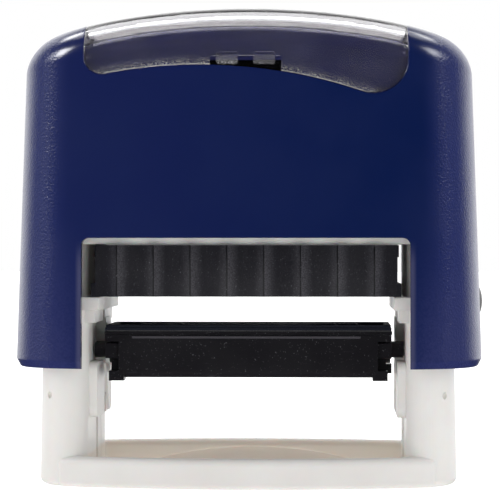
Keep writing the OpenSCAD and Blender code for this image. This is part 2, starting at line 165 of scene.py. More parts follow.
def new_object(name, vertices, faces, smooth_angle=35):
    """A mesh in millimetres. stand_for() brings it to metres at the end."""
    mesh = bpy.data.meshes.new(name)
    mesh.from_pydata([tuple(v) for v in vertices], [], [tuple(f) for f in faces])
    mesh.validate()
    mesh.shade_smooth()
    mesh.set_sharp_from_angle(angle=math.radians(smooth_angle))
    made = bpy.data.objects.new(name, mesh)
    bpy.context.scene.collection.objects.link(made)
    return made


def stand_for(piece, node, material):
    """piece takes the place of a CAD node, on the same body, with this material."""
    piece.data.transform(Matrix.Scale(MM, 4))
    piece.data.materials.clear()
    piece.data.materials.append(material)
    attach(piece, nodes[node]["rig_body"])
    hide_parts(node)


def sweep(name, path, radius, sides=20):
    """A round wire along a path, with flat ends."""
    path = np.array(path)
    along = np.gradient(path, axis=0)
    along /= np.linalg.norm(along, axis=1, keepdims=True)
    outward = path * [1, 1, 0]
    outward /= np.linalg.norm(outward, axis=1, keepdims=True)
    across = np.cross(along, outward)
    angles = np.linspace(0, 2 * np.pi, sides, endpoint=False)
    rings = (
        path[:, None]
        + radius * np.cos(angles)[None, :, None] * outward[:, None]
        + radius * np.sin(angles)[None, :, None] * across[:, None]
    )
    last = len(path) - 1
    faces = [
        (i * sides + k, i * sides + (k + 1) % sides, (i + 1) * sides + (k + 1) % sides, (i + 1) * sides + k)
        for i in range(last)
        for k in range(sides)
    ]
    faces.append(tuple(range(sides))[::-1])
    faces.append(tuple(last * sides + k for k in range(sides)))
    return new_object(name, rings.reshape(-1, 3), faces)


# ---- materials ----


def ramp(tree, source, from_range, to_range, interpolation="LINEAR"):
    """Maps a number in a node tree from one range to another, held at both ends."""
    node = tree.nodes.new("ShaderNodeMapRange")
    node.interpolation_type = interpolation
    for socket, value in zip(("From Min", "From Max", "To Min", "To Max"), (*from_range, *to_range)):
        node.inputs[socket].default_value = value
    tree.links.new(source, node.inputs["Value"])
    return node.outputs["Result"]


class Nodes:
    """A material's node tree, with short calls to add and join nodes."""

    def __init__(self, name):
        self.material = bpy.data.materials.new(name)
        self.material.use_nodes = True
        self.tree = self.material.node_tree
        self.shader = self.tree.nodes["Principled BSDF"]
        self.place = self.add("ShaderNodeTexCoord").outputs["Object"]

    def add(self, kind, **values):
        node = self.tree.nodes.new(kind)
        for key, value in values.items():
            setattr(node, key, value)
        return node

    def join(self, source, target):
        self.tree.links.new(source, target)

    def put(self, target, value):
        """Sets a socket, or links it when value is another node's output."""
        if isinstance(value, bpy.types.NodeSocket):
            self.join(value, target)
        else:
            target.default_value = value

    def noise(self, per_mm, detail=3.0, rough=0.55, stretch=(1, 1, 1)):
        """Noise whose features are 1 / per_mm millimetres across."""
        scaled = self.add("ShaderNodeMapping")
        self.join(self.place, scaled.inputs["Vector"])
        scaled.inputs["Scale"].default_value = [s * per_mm / MM for s in stretch]
        texture = self.add("ShaderNodeTexNoise")
        self.join(scaled.outputs["Vector"], texture.inputs["Vector"])
        texture.inputs["Scale"].default_value = 1
        texture.inputs["Detail"].default_value = detail
        texture.inputs["Roughness"].default_value = rough
        return texture.outputs["Fac"]

    def band(self, value, low, high, out_low=0.0, out_high=1.0):
        """Maps value smoothly from low..high to out_low..out_high, held at both ends."""
        return ramp(self.tree, value, (low, high), (out_low, out_high), "SMOOTHSTEP")

    def math(self, operation, a, b=0.0):
        node = self.add("ShaderNodeMath", operation=operation)
        self.put(node.inputs[0], a)
        self.put(node.inputs[1], b)
        return node.outputs["Value"]

    def axis(self, index):
        split = self.add("ShaderNodeSeparateXYZ")
        self.join(self.place, split.inputs["Vector"])
        return split.outputs[index]

    def times(self, *values):
        """The product of all values."""
        product = values[0]
        for value in values[1:]:
            product = self.math("MULTIPLY", product, value)
        return product

    def along(self):
        """Distance to the right of the middle, as seen by an eye before the nearer face, front or rear."""
        facing = self.math("SIGN", self.times(self.axis(1), -1.0))
        return self.times(self.axis(0), facing)

    def length(self, a, b):
        return self.math("SQRT", self.math("ADD", self.times(a, a), self.times(b, b)))

    def rail_depth(self):
        """How far a point lies behind the rails' outer faces."""
        outer = RAIL_R + RAIL_HALF_T
        y = self.math("SUBTRACT", self.math("ABSOLUTE", self.axis(1)), (-RAIL_MID - RAIL_R) * MM)
        return self.math("SUBTRACT", outer * MM, self.length(self.axis(0), y))

    def mix(self, factor, a, b):
        node = self.add("ShaderNodeMix", data_type="RGBA")
        self.put(node.inputs["Factor"], factor)
        self.put(node.inputs[6], a if isinstance(a, bpy.types.NodeSocket) else (*a, 1))
        self.put(node.inputs[7], b if isinstance(b, bpy.types.NodeSocket) else (*b, 1))
        return node.outputs[2]

    def surface(self, height, depth_mm, edge_mm=0.0, strength=1.0):
        """Bump of a real depth over softened edges."""
        bump = self.add("ShaderNodeBump")
        self.put(bump.inputs["Strength"], strength)
        bump.inputs["Distance"].default_value = depth_mm * MM
        self.put(bump.inputs["Height"], height)
        if edge_mm:
            soft = self.add("ShaderNodeBevel", samples=6)
            soft.inputs["Radius"].default_value = edge_mm * MM
            self.join(soft.outputs["Normal"], bump.inputs["Normal"])
        self.join(bump.outputs["Normal"], self.shader.inputs["Normal"])

    def set(self, **values):
        """Sets or links inputs of the shader. An underscore stands for a space in the input's name."""
        for key, value in values.items():
            self.put(self.shader.inputs[key.replace("_", " ")], value)


def moulded_plastic(name, colour, worn, grain_mm, depth_mm, rough=(0.34, 0.46), edge_mm=0.22):
    """Moulded plastic: fine grain, and slow changes of gloss and colour."""
    m = Nodes(name)
    grain = m.noise(1 / grain_mm, detail=2)
    slow = m.noise(1 / 9)
    m.set(Base_Color=m.mix(m.band(slow, 0.25, 0.75), colour, worn))
    m.set(Roughness=m.band(slow, 0.3, 0.7, *rough))
    m.surface(grain, depth_mm, edge_mm)
    return m.material


def cap_blue():
    """Deep blue plastic: spark-eroded grain on sides and shoulders, much finer on the flat panels."""
    m = Nodes("cap_blue")
    across, height = m.math("ABSOLUTE", m.axis(0)), m.axis(2)
    side = m.band(across, 22.5 * MM, 27 * MM)
    grain = m.noise(1 / 0.3, detail=2, rough=0.6)
    slow = m.noise(1 / 12)
    # Across the panel the blue darkens from left to right: a painted shade gradient, as if lit from the
    # left.
    even = m.mix(m.band(m.along(), -24 * MM, 20 * MM), (0.0062, 0.0130, 0.084), (0.0007, 0.0085, 0.068))
    panel = m.mix(m.band(slow, 0.3, 0.7, 0.0, 0.35), even, (0.0042, 0.0140, 0.092))
    # Paler blue on the rounded sides: painted light, for the stronger light that falls on them.
    blue = m.mix(side, panel, (0.0075, 0.0170, 0.120))
    # Paler towards the foot on the sides: painted light bounced up from the floor, broken up by the grain.
    painted_bounce_light = m.times(
        m.band(height, 38 * MM, 12 * MM),
        m.band(across, 20 * MM, 24 * MM, 0.0, 0.8),
        m.band(grain, 0.3, 0.7, 0.5, 1.0),
    )
    blue = m.mix(painted_bounce_light, blue, (0.030, 0.036, 0.135))
    # A paler strip along the edges of the cut-outs: a painted highlight on their rounded edges.
    cut_edge_highlight = m.times(
        m.band(across, (CUT_HALF + 0.9) * MM, (CUT_HALF + 0.2) * MM),
        m.band(height, CUT_TOP * MM, (CUT_TOP - 4) * MM, 0.0, 0.5),
    )
    blue = m.mix(cut_edge_highlight, blue, (0.10, 0.10, 0.18))
    # Only the recess under the window lies this far in: it is paler, and nearly black in the pry slot as
    # painted shadow.
    recess = m.band(m.math("ABSOLUTE", m.axis(1)), 16.1 * MM, 15.7 * MM)
    under = m.times(recess, m.band(across, 21.1 * MM, 20.9 * MM), m.band(height, 50 * MM, 50.5 * MM))
    blue = m.mix(under, blue, (0.021, 0.024, 0.115))
    slot = m.times(
        recess,
        m.band(across, (SLOT_HALF + 0.15) * MM, SLOT_HALF * MM),
        m.band(height, (SLOT_TOP + 0.2) * MM, SLOT_TOP * MM),
        m.band(height, (SLOT_LOW - 0.2) * MM, SLOT_LOW * MM),
    )
    m.set(Base_Color=m.mix(slot, blue, (0.0012, 0.0014, 0.003)))
    m.set(Roughness=m.math("ADD", m.band(slow, 0.2, 0.8, 0.17, 0.23), m.times(side, 0.10)))
    m.surface(grain, 0.075, 0.25, strength=m.band(side, 0, 1, 0.05, 1.0))
    return m.material


def base_white():
    """Warm white, with painted shade on the inner faces of the rails: tan, and darker in their shallow
    arches.
    """
    m = Nodes("base_white")
    slow = m.noise(1 / 9)
    base = m.mix(m.band(slow, 0.25, 0.75), (0.85, 0.83, 0.80), (0.88, 0.865, 0.84))
    # Painted shade: tan on the inner faces of the rails, below their tops and between the columns.
    painted_rail_shade = m.times(
        m.band(m.axis(2), 4.4 * MM, 3.6 * MM),
        m.band(m.math("ABSOLUTE", m.axis(0)), 22.5 * MM, 20 * MM),
        m.band(m.rail_depth(), 1.2 * MM, 2.0 * MM),
    )
    # Darker still inside the shallow arch: more painted shade.
    above = m.math("SUBTRACT", m.axis(2), (ARCH_TOP - ARCH_R) * MM)
    arch = m.times(painted_rail_shade, m.band(m.length(m.axis(0), above), ARCH_R * MM, (ARCH_R - 0.15) * MM))
    shaded_rail_colour = m.mix(painted_rail_shade, base, (0.80, 0.72, 0.62))
    m.set(Base_Color=m.mix(arch, shaded_rail_colour, (0.55, 0.45, 0.36)), Roughness=m.band(slow, 0.3, 0.7, 0.38, 0.5))
    m.set(Subsurface_Weight=0.15, Subsurface_Scale=0.001, Specular_IOR_Level=0.35)
    m.surface(m.noise(1 / 0.5, detail=2), 0.004, 0.2)
    return m.material


def platen_black():
    """Smooth black plastic with fine scuffs, a few dust specks and a painted highlight on the front of the
    seam.
    """
    m = Nodes("platen_black")
    slow = m.noise(1 / 7)
    base = m.mix(m.band(slow, 0.25, 0.75), (0.0105, 0.0095, 0.0135), (0.0150, 0.0140, 0.0185))
    scuffs = m.band(m.noise(1 / 0.5, detail=3, stretch=(0.25, 1, 1.6)), 0.64, 0.74)
    dust = m.band(m.noise(1 / 0.2, detail=1), 0.71, 0.75)
    marked = m.mix(m.times(scuffs, 0.35), base, (0.045, 0.045, 0.06))
    front = -CARRIER_HALF[1]
    # The front face of the seam's lip is paler: a painted highlight.
    seam = m.band(m.axis(1), (front - 0.02) * MM, (front - 0.08) * MM, 0.0, 0.8)
    marked = m.mix(seam, marked, (0.085, 0.080, 0.095))
    m.set(Base_Color=m.mix(m.times(dust, 0.7), marked, (0.20, 0.20, 0.22)))
    m.set(Roughness=m.band(slow, 0.3, 0.7, 0.34, 0.46), Specular_IOR_Level=0.3)
    m.surface(m.noise(1 / 0.4, detail=2), 0.006, 0.1)
    return m.material


def grip_black():
    """Black, finely grained plastic with painted light beside the ridges of its flutes and a painted shade
    line left of each, dotted with dust.
    """
    m = Nodes("cartridge_black")
    grain = m.noise(1 / 0.17, detail=2)
    slow = m.noise(1 / 6)
    # From 0 at the left of each flute to 1 at its right.
    turns = m.math("DIVIDE", m.along(), FLUTE_PITCH * MM)
    place = m.math("FRACT", m.math("ADD", turns, 0.5 * FLUTES))
    # Painted light: paler just right of each ridge and faintly left of the next, as if lit from the right;
    # the grain breaks it up.
    painted_flute_light = m.math("MAXIMUM", m.band(place, 0.34, 0.03), m.band(place, 0.70, 0.93, 0.0, 0.45))
    painted_flute_light = m.times(painted_flute_light, m.band(grain, 0.35, 0.65, 0.3, 1.0))
    base = m.mix(m.band(slow, 0.25, 0.75), (0.0125, 0.0120, 0.0190), (0.0165, 0.0158, 0.0240))
    base = m.mix(m.band(grain, 0.45, 0.75), base, (0.0250, 0.0243, 0.0330))
    # Here worn holds the colour with the painted light beside the ridges.
    worn = m.mix(painted_flute_light, base, (0.066, 0.064, 0.076))
    # A thin painted shade line just left of each ridge.
    worn = m.mix(m.band(place, 0.955, 0.975), worn, (0.006, 0.006, 0.009))
    dust = m.times(m.band(m.noise(1 / 0.2, detail=1), 0.68, 0.74), 0.5)
    m.set(Base_Color=m.mix(dust, worn, (0.15, 0.15, 0.17)), Roughness=m.band(slow, 0.3, 0.7, 0.42, 0.54))
    m.surface(grain, 0.020, 0.1)
    return m.material


def clear_plastic():
    """Clear polystyrene: haze, streaks along its length, dust at its lower edge, faintly frosted tabs."""
    m = Nodes("window_clear")
    streaks = m.noise(1 / 0.9, stretch=(0.03, 1, 1))
    across = m.math("SUBTRACT", m.along(), SWEEP_CENTRE[0] * MM)
    up = m.math("SUBTRACT", m.axis(2), SWEEP_CENTRE[1] * MM)
    above = m.math("SUBTRACT", m.length(across, up), SWEEP_R * MM)
    low = m.band(above, 1.5 * MM, 0.1 * MM)
    # A thin haze band along the lower edge: a painted highlight of the glass edge.
    rim = m.band(above, 0.28 * MM, 0.12 * MM, 0.0, 0.30)
    dust = m.band(m.noise(1 / 0.14, detail=1), 0.56, 0.65)
    tab_edge = TAB_X + TAB_HALF
    frost = m.times(
        m.band(m.math("ABSOLUTE", m.axis(0)), (tab_edge + 0.1) * MM, tab_edge * MM),
        m.band(m.axis(2), (TAB_TOP - 0.3) * MM, (TAB_TOP - 0.6) * MM),
    )
    marks = m.math("MAXIMUM", m.times(dust, low, 0.45), rim)
    marks = m.math("MAXIMUM", marks, m.times(frost, 0.05))
    haze = m.math("ADD", m.band(m.noise(1 / 5), 0.35, 0.7, 0.006, 0.018), marks)
    m.set(Base_Color=(0.89, 0.88, 0.91, 1), IOR=1.49, Transmission_Weight=m.math("SUBTRACT", 1.0, haze))
    m.set(Roughness=m.band(streaks, 0.35, 0.75, 0.02, 0.10))
    m.surface(streaks, 0.03, 0.12)
    return m.material


def steel(name, rough=0.24):
    """Drawn steel, with fine marks that run across Z."""
    m = Nodes(name)
    drawn = m.noise(1 / 0.2, stretch=(1, 1, 6))
    m.set(Base_Color=(0.62, 0.62, 0.64, 1), Metallic=1.0)
    m.set(Roughness=m.band(drawn, 0.3, 0.7, rough, rough + 0.12))
    m.surface(drawn, 0.004, 0.05)
    return m.material


def felt():
    """Ink-soaked felt: tangled fibres, with patches that change its gloss."""
    m = Nodes("felt_ink")
    fibres = m.noise(1 / 0.18, detail=8, rough=0.75, stretch=(1, 1, 0.5))
    patches = m.noise(1 / 5)
    dark = m.mix(m.band(fibres, 0.3, 0.7), (0.006, 0.008, 0.035), (0.022, 0.03, 0.12))
    m.set(Base_Color=dark, Sheen_Weight=0.35, Sheen_Roughness=0.6)
    m.set(Roughness=m.band(patches, 0.35, 0.65, 0.45, 0.85))
    m.surface(fibres, 0.18, 0.3)
    return m.material


def card():
    """Uncoated card with visible fibres."""
    m = Nodes("card_ivory")
    fibres = m.noise(1 / 0.25, detail=6, rough=0.7)
    m.set(Base_Color=m.mix(m.band(fibres, 0.3, 0.7), (0.80, 0.77, 0.70), (0.88, 0.86, 0.80)))
    m.set(Roughness=0.75)
    m.surface(fibres, 0.02)
    return m.material


def rubber(name, colour, worn):
    """Matt rubber or foam with fine pores."""
    m = Nodes(name)
    pores = m.noise(1 / 0.12, detail=4)
    m.set(Base_Color=m.mix(m.band(pores, 0.35, 0.65), colour, worn))
    m.set(Roughness=m.band(m.noise(1 / 3), 0.3, 0.7, 0.6, 0.8), Specular_IOR_Level=0.1)
    m.surface(pores, 0.012, 0.1)
    return m.material


WHITE = base_white()
BLACK = platen_black()
GRIP_BLACK = grip_black()
MATERIALS = {
    "base_frame": WHITE,
    "pad_housing": WHITE,
    "foot_pads": rubber("foot_white", (0.62, 0.62, 0.6), (0.7, 0.7, 0.68)),
    "return_spring": steel("steel"),
    "cap_shell": cap_blue(),
    "yoke": moulded_plastic(
        "yoke_grey", (0.62, 0.62, 0.6), (0.68, 0.68, 0.66), grain_mm=0.5, depth_mm=0.004
    ),
    "index_card": card(),
    "lock_leaf_spring": steel("spring_leaf", 0.3),
    "index_window": clear_plastic(),
    "lock_button": moulded_plastic(
        "button_grey",
        (0.03, 0.03, 0.032),
        (0.045, 0.045, 0.047),
        grain_mm=0.5,
        depth_mm=0.002,
        rough=(0.35, 0.45),
        edge_mm=0.2,
    ),
    "platen_carrier": BLACK,
    "axle_left": moulded_plastic(
        "axle_black",
        (0.01, 0.01, 0.012),
        (0.016, 0.016, 0.018),
        grain_mm=0.3,
        depth_mm=0.004,
        rough=(0.25, 0.35),
        edge_mm=0.1,
    ),
    "flip_cam_left": BLACK,
    "text_plate": BLACK,
    "adhesive_foam": rubber("foam_grey", (0.05, 0.05, 0.055), (0.1, 0.1, 0.105)),
    "rubber_die": rubber("die_rubber", (0.010, 0.012, 0.02), (0.02, 0.022, 0.034)),
    "cartridge_tray": GRIP_BLACK,
    "ink_felt": felt(),
}
MATERIALS["axle_right"] = MATERIALS["axle_left"]
MATERIALS["flip_cam_right"] = BLACK


def finish_cad_nodes():
    """Materials and smooth shading for all CAD meshes. Some of them are replaced further down."""
    for name, node in nodes.items():
        node.data.materials.clear()
        node.data.materials.append(MATERIALS[name])
        node.data.shade_smooth()
        node.data.set_sharp_from_angle(angle=math.radians(32))


# ---- outlines and solids, in millimetres ----


def evenly(points, count):
    """The same closed line through evenly spaced points, without a last point on top of the first."""
    points = np.array(points)
    walked = np.concatenate([[0], np.cumsum(np.linalg.norm(np.diff(points, axis=0), axis=1))])
    stops = np.linspace(0, walked[-1], count, endpoint=False)
    return np.stack([np.interp(stops, walked, points[:, k]) for k in (0, 1)], axis=1)


def rounded_plan(half_width, half_depth, start, end, powers=PLAN_POWERS):
    """Points on a rounded plan outline between two angles in radians."""
    turn = np.linspace(start, end, 8001)
    c, s = np.cos(turn), np.sin(turn)
    x = half_width * np.sign(c) * np.abs(c) ** (2 / powers[0])
    y = half_depth * np.sign(s) * np.abs(s) ** (2 / powers[1])
    return np.stack([x, y], axis=1)


def plan(half_width, half_depth):
    """A whole rounded plan outline, starting on +X."""
    return evenly(rounded_plan(half_width, half_depth, 0, 2 * np.pi), PLAN_POINTS)


def loft(name, rings, top=None):
    """A closed solid through rings of equal count. Its top is one face, or "strips" across the form."""
    n = len(rings[0])
    faces = [tuple(range(n))[::-1]]
    for j in range(len(rings) - 1):
        for i in range(n):
            k = (i + 1) % n
            faces.append((j * n + i, j * n + k, (j + 1) * n + k, (j + 1) * n + i))
    last, half = (len(rings) - 1) * n, n // 2
    if top == "strips":
        faces.append((last, last + 1, last + n - 1))
        faces += [(last + i, last + i + 1, last + n - i - 1, last + n - i) for i in range(1, half - 1)]
        faces.append((last + half - 1, last + half, last + half + 1))
    else:
        faces.append(tuple(range(last, last + n)))
    return new_object(name, np.concatenate(rings), faces)


def prism(name, outline, start, end, along="y"):
    """A flat outline run along one axis. Its points hold the other two coordinates in usual order."""
    axis = "xyz".index(along)
    outline = np.array(outline, float)
    n = len(outline)
    ends = [np.insert(outline, axis, place, axis=1) for place in (start, end)]
    faces = [tuple(range(n)), tuple(range(n, 2 * n))[::-1]]
    faces += [(i, n + i, n + (i + 1) % n, (i + 1) % n) for i in range(n)]
    made = new_object(name, np.concatenate(ends), faces)
    outward(made)
    return made


def outward(piece):
    """Turns all faces to look outwards."""
    work = bmesh.new()
    work.from_mesh(piece.data)
    bmesh.ops.recalc_face_normals(work, faces=work.faces)
    work.to_mesh(piece.data)
    work.free()


def block(name, low, high):
    """A box between two corners."""
    (x0, y0, z0), (x1, y1, z1) = low, high
    return prism(name, [(x0, z0), (x1, z0), (x1, z1), (x0, z1)], y0, y1)


def round_x(name, profile, sides=72):
    """A solid turned about the X axis from (x, radius) points that start and end on the axis."""
    inner = [point for point in profile if point[1] > 1e-6]
    angles = np.linspace(0, 2 * np.pi, sides, endpoint=False)
    rings = [[(x, r * math.cos(a), r * math.sin(a)) for a in angles] for x, r in inner]
    vertices = [point for ring in rings for point in ring]
    vertices += [(profile[0][0], 0, 0), (profile[-1][0], 0, 0)]
    first, last = len(vertices) - 2, len(vertices) - 1
    faces = []
    for k in range(sides):
        n = (k + 1) % sides
        faces.append((first, n, k))
        for j in range(len(inner) - 1):
            faces.append((j * sides + k, j * sides + n, (j + 1) * sides + n, (j + 1) * sides + k))
        faces.append((last, (len(inner) - 1) * sides + k, (len(inner) - 1) * sides + n))
    made = new_object(name, vertices, faces)
    outward(made)
    return made


def ball(name, radius, steps, sides=72):
    """A ball round the origin, with its poles on the X axis."""
    turns = np.linspace(0, math.pi, steps)
    return round_x(name, [(radius * math.cos(v), radius * math.sin(v)) for v in turns], sides)


def arc(centre, radius, start, end, steps=8):
    """Points on an arc between two angles in degrees."""
    angles = np.radians(np.linspace(start, end, steps + 1))
    return [(centre[0] + radius * math.cos(a), centre[1] + radius * math.sin(a)) for a in angles]


def rounded_rect(low, high, radius):
    (x0, z0), (x1, z1) = low, high
    r = radius
    return (
        arc((x0 + r, z0 + r), r, 180, 270)
        + arc((x1 - r, z0 + r), r, 270, 360)
        + arc((x1 - r, z1 - r), r, 0, 90)
        + arc((x0 + r, z1 - r), r, 90, 180)
    )


def combine(piece, other, operation="DIFFERENCE"):
    """Cuts, joins or intersects piece with other, and uses other up."""
    change = piece.modifiers.new("combine", "BOOLEAN")
    change.operation, change.object, change.solver = operation, other, "MANIFOLD"
    done = bpy.data.meshes.new_from_object(piece.evaluated_get(bpy.context.evaluated_depsgraph_get()))
    piece.modifiers.clear()
    piece.data = done
    bpy.data.objects.remove(other)
    return piece


def turned(piece):
    """A copy turned half round about Z."""
    copy = piece.copy()
    copy.data = piece.data.copy()
    copy.data.transform(Matrix.Rotation(math.pi, 4, "Z"))
    bpy.context.scene.collection.objects.link(copy)
    return copy


def mirrored(piece):
    """The same solid on the other side of the YZ plane."""
    piece.data.transform(Matrix.Scale(-1, 4, (1, 0, 0)))
    piece.data.flip_normals()
    return piece


def soften(piece, width, angle=38, segments=2):
    """Rounds the sharp edges by a real bevel, width millimetres wide."""
    tidy = piece.modifiers.new("tidy", "DECIMATE")
    tidy.decimate_type = "DISSOLVE"
    tidy.angle_limit = math.radians(0.5)
    bevel = piece.modifiers.new("edges", "BEVEL")
    bevel.width, bevel.segments = width, segments
    bevel.limit_method, bevel.angle_limit = "ANGLE", math.radians(angle)
    bevel.use_clamp_overlap = True
    bevel.miter_outer = "MITER_ARC"
    done = bpy.data.meshes.new_from_object(piece.evaluated_get(bpy.context.evaluated_depsgraph_get()))
    piece.modifiers.clear()
    piece.data = done
    return smooth(piece)


def smooth(piece, angle=32):
    """Smooth shading over small bends only, weighted so that flat faces stay flat."""
    piece.data.shade_smooth()
    piece.data.set_sharp_from_angle(angle=math.radians(angle))
    even = piece.modifiers.new("even_shading", "WEIGHTED_NORMAL")
    even.keep_sharp = True
    return piece


# ---- cap ----


def crown(x, drop=0.0):
    """Height of the cap's crowned top, or of a surface that much below it."""
    return CREST - drop - CROWN_R + np.sqrt(CROWN_R**2 - x**2)


def ring_at(inset, z):
    """Outline of the tapering cap at height z, inset all round."""
    shrink = inset + DRAFT * (z - CAP_Z)
    flat = plan(CAP_HALF[0] - shrink, CAP_HALF[1] - shrink)
    return np.column_stack([flat, np.full(len(flat), float(z))])


def crowned_body(name, inset=0.0, drop=0.0, radius=TOP_R, lip=((0, 0.0), (0.3, 0.0))):
    """The cap's outer form, inset all round and lowered at the top, with a lip of (height, inset) steps."""
    rings = [ring_at(inset + step, CAP_Z + rise) for rise, step in lip]
    for v in np.radians(np.arange(0, 91, 6)):
        shrink = inset + DRAFT * WALL_H + radius * (1 - math.cos(v))
        flat = plan(CAP_HALF[0] - shrink, CAP_HALF[1] - shrink)
        rings.append(np.column_stack([flat, crown(flat[:, 0], drop) - radius + radius * math.sin(v)]))
    return loft(name, rings, "strips")


def window_outline(grow=0.0):
    """Front view of the index window: a swept lower edge with a tight left corner and a wide right one."""
    half, centre = WINDOW_HALF + grow, (SWEEP_CENTRE[0], SWEEP_CENTRE[1] - grow)
    points = [(-half, 75)]
    ends = []
    for side, r in zip((-1, 1), WINDOW_CORNERS):
        x = side * (half - r)
        z = centre[1] + math.sqrt((SWEEP_R + r) ** 2 - (x - centre[0]) ** 2)
        toward = math.degrees(math.atan2(centre[1] - z, centre[0] - x))
        ends.append((x, z, r, toward % 360))
    (lx, lz, lr, la), (rx, rz, rr, ra) = ends
    points += arc((lx, lz), lr, 180, la, 10)
    start, stop = (math.degrees(math.atan2(z - centre[1], x - centre[0])) for x, z, _, _ in ends)
    points += arc(centre, SWEEP_R, start, stop, 60)[1:-1]
    points += arc((rx, rz), rr, ra, 360, 10)
    points.append((half, 75))
    return points


def window_space(grow=0.0):
    """Everything that lies inside the window's outline, seen from the front or the rear."""
    front = prism("window_space", window_outline(grow), -30, 0.4)
    return combine(front, turned(front), "UNION")


def cap_shell():
    """The hollow cap with its cut-outs, the recess for the window, pry slots and the lock's dimple."""
    # Heights above the foot with insets: of the rounded lip, and of the room inside.
    lip = ((0, 0.62), (0.08, 0.5), (0.88, 0.07), (0.98, 0.01), (1.1, 0.0))
    cap = crowned_body("cap_shell_fine", lip=lip)
    levels = ((-1, 1.5), (31.5, 1.1), (31.6, 3.0), (37.5, 3.4), (41, 4.4))
    combine(cap, loft("hollow", [ring_at(inset, CAP_Z + rise) for rise, inset in levels]))
    cut = prism("cut_out", rounded_rect((-CUT_HALF, 0), (CUT_HALF, CUT_TOP), 1.0), -30, -9)
    combine(cap, turned(cut))
    combine(cap, cut)
    recess = window_space()
    combine(recess, crowned_body("recess_floor", RECESS_IN, RECESS_DOWN, TOP_R - RECESS_IN))
    combine(cap, recess)
    slot = block("pry_slot", (-SLOT_HALF, -30, SLOT_LOW), (SLOT_HALF, -14.9, SLOT_TOP))
    combine(slot, prism("slot_limit", window_outline(), -40, 0), "INTERSECT")
    combine(cap, turned(slot))
    combine(cap, slot)
    side = CAP_HALF[0] - DRAFT * (LOCK_Z - CAP_Z)
    dimple = ball("dimple", DIMPLE_R, 40)
    dimple.data.transform(Matrix.Translation((side + DIMPLE_OUT, 0, LOCK_Z)))
    combine(cap, dimple)
    hole = round_x("hole", [(25, 0), (25, LOCK_R), (35, LOCK_R), (35, 0)])
    hole.data.transform(Matrix.Translation((0, 0, LOCK_Z)))
    combine(cap, hole)
    stand_for(smooth(cap), "cap_shell", MATERIALS["cap_shell"])


def index_window():
    """The clear window: a shell over front, top and rear, notched round two small tabs on each side."""
    glass = crowned_body("index_window_clear")
    combine(glass, window_space(-0.08), "INTERSECT")
    combine(glass, crowned_body("inside", GLASS_T, GLASS_T, TOP_R - GLASS_T))
    notch = block("notch", (-SLOT_HALF, -20, 50), (SLOT_HALF, -10, NOTCH_TOP))
    combine(glass, turned(notch))
    combine(glass, notch)
    for across in (-TAB_X, TAB_X):
        outline = rounded_rect((across - TAB_HALF, TAB_LOW), (across + TAB_HALF, TAB_TOP), 0.3)
        tab = prism("tab", outline, TAB_FRONT, TAB_REAR)
        combine(glass, turned(tab), "UNION")
        combine(glass, tab, "UNION")
    stand_for(smooth(glass), "index_window", MATERIALS["index_window"])


# ---- base ----


def column_ring(inset, z):
    """Plan of the right column: a bowed outside that runs smoothly into round corners at the side wall."""
    shrink = inset + COLUMN_DRAFT * (z - FRAME_LOW)
    half = np.array(COLUMN_HALF) - shrink
    inner, r = WALL_X + inset, CORNER_R - inset
    curve = rounded_plan(*half, 0, math.pi / 2, COLUMN_POWERS)
    slope = [
        power / size * (curve[:, k] / size) ** (power - 1)
        for k, (power, size) in enumerate(zip(COLUMN_POWERS, half))
    ]
    normal = np.stack(slope, axis=1) / np.hypot(*slope)[:, None]
    centres = curve - r * normal
    meet = int(np.abs(centres[:, 0] - inner - r).argmin())
    turn = math.degrees(math.atan2(normal[meet, 1], normal[meet, 0]))
    rear = [tuple(point) for point in curve[:meet]] + arc(centres[meet], r, turn, 180, 16)
    front = [(x, -y) for x, y in rear[:0:-1]]
    flat = evenly(front + rear + front[:1], 160)
    return np.column_stack([flat, np.full(len(flat), float(z))])


def rounded_foot(radius, low):
    """Heights and insets of a rounded lower edge."""
    turns = np.radians([0, 15, 30, 45, 60, 75, 90])
    return [(low + radius * (1 - math.cos(v)), radius * (1 - math.sin(v))) for v in turns]


def cam_track():
    """The room that a cam pin sweeps as the cap goes down, seen along X."""
    gap = PIN_R + PIN_ROOM
    down = np.linspace(0, STROKE, 60)
    turn = np.pi * down / STROKE
    path = np.stack([-CAM_REACH * np.cos(turn), AXLE_Z - down + CAM_REACH * np.sin(turn)], axis=1)
    path = np.concatenate([path[:1], path[12:]])
    along = np.gradient(path, axis=0)
    along /= np.linalg.norm(along, axis=1, keepdims=True)
    side = np.stack([-along[:, 1], along[:, 0]], axis=1) * gap
    heading = np.degrees(np.arctan2(along[:, 1], along[:, 0]))
    return (
        arc(path[0], gap, heading[0] + 270, heading[0] + 90, 12)
        + [tuple(point) for point in (path + side)[1:-1]]
        + arc(path[-1], gap, heading[-1] + 90, heading[-1] - 90, 12)
        + [tuple(point) for point in (path - side)[1:-1][::-1]]
    )


def lug_outline():
    """Side view of a cam lug. Its front half ends lower than its rear half."""
    r, step_z = LUG_R, AXLE_Z - 1.4
    front, rear = LUG_FRONT + r, LUG_REAR - r
    return (
        arc((front, LUG_BOTTOM + r), r, 180, 270)
        + arc((rear, LUG_BOTTOM + r), r, 270, 360)
        + arc((rear, LUG_TOP - r), r, 0, 90)
        + [(0.3, LUG_TOP), (0.3, step_z)]
        + arc((front, step_z - r), r, 90, 180)
    )


def slot_outline(half, low, high):
    """A vertical slot with round ends, seen along X."""
    return arc((0, low), half, 180, 360, 16) + arc((0, high), half, 0, 180, 16)


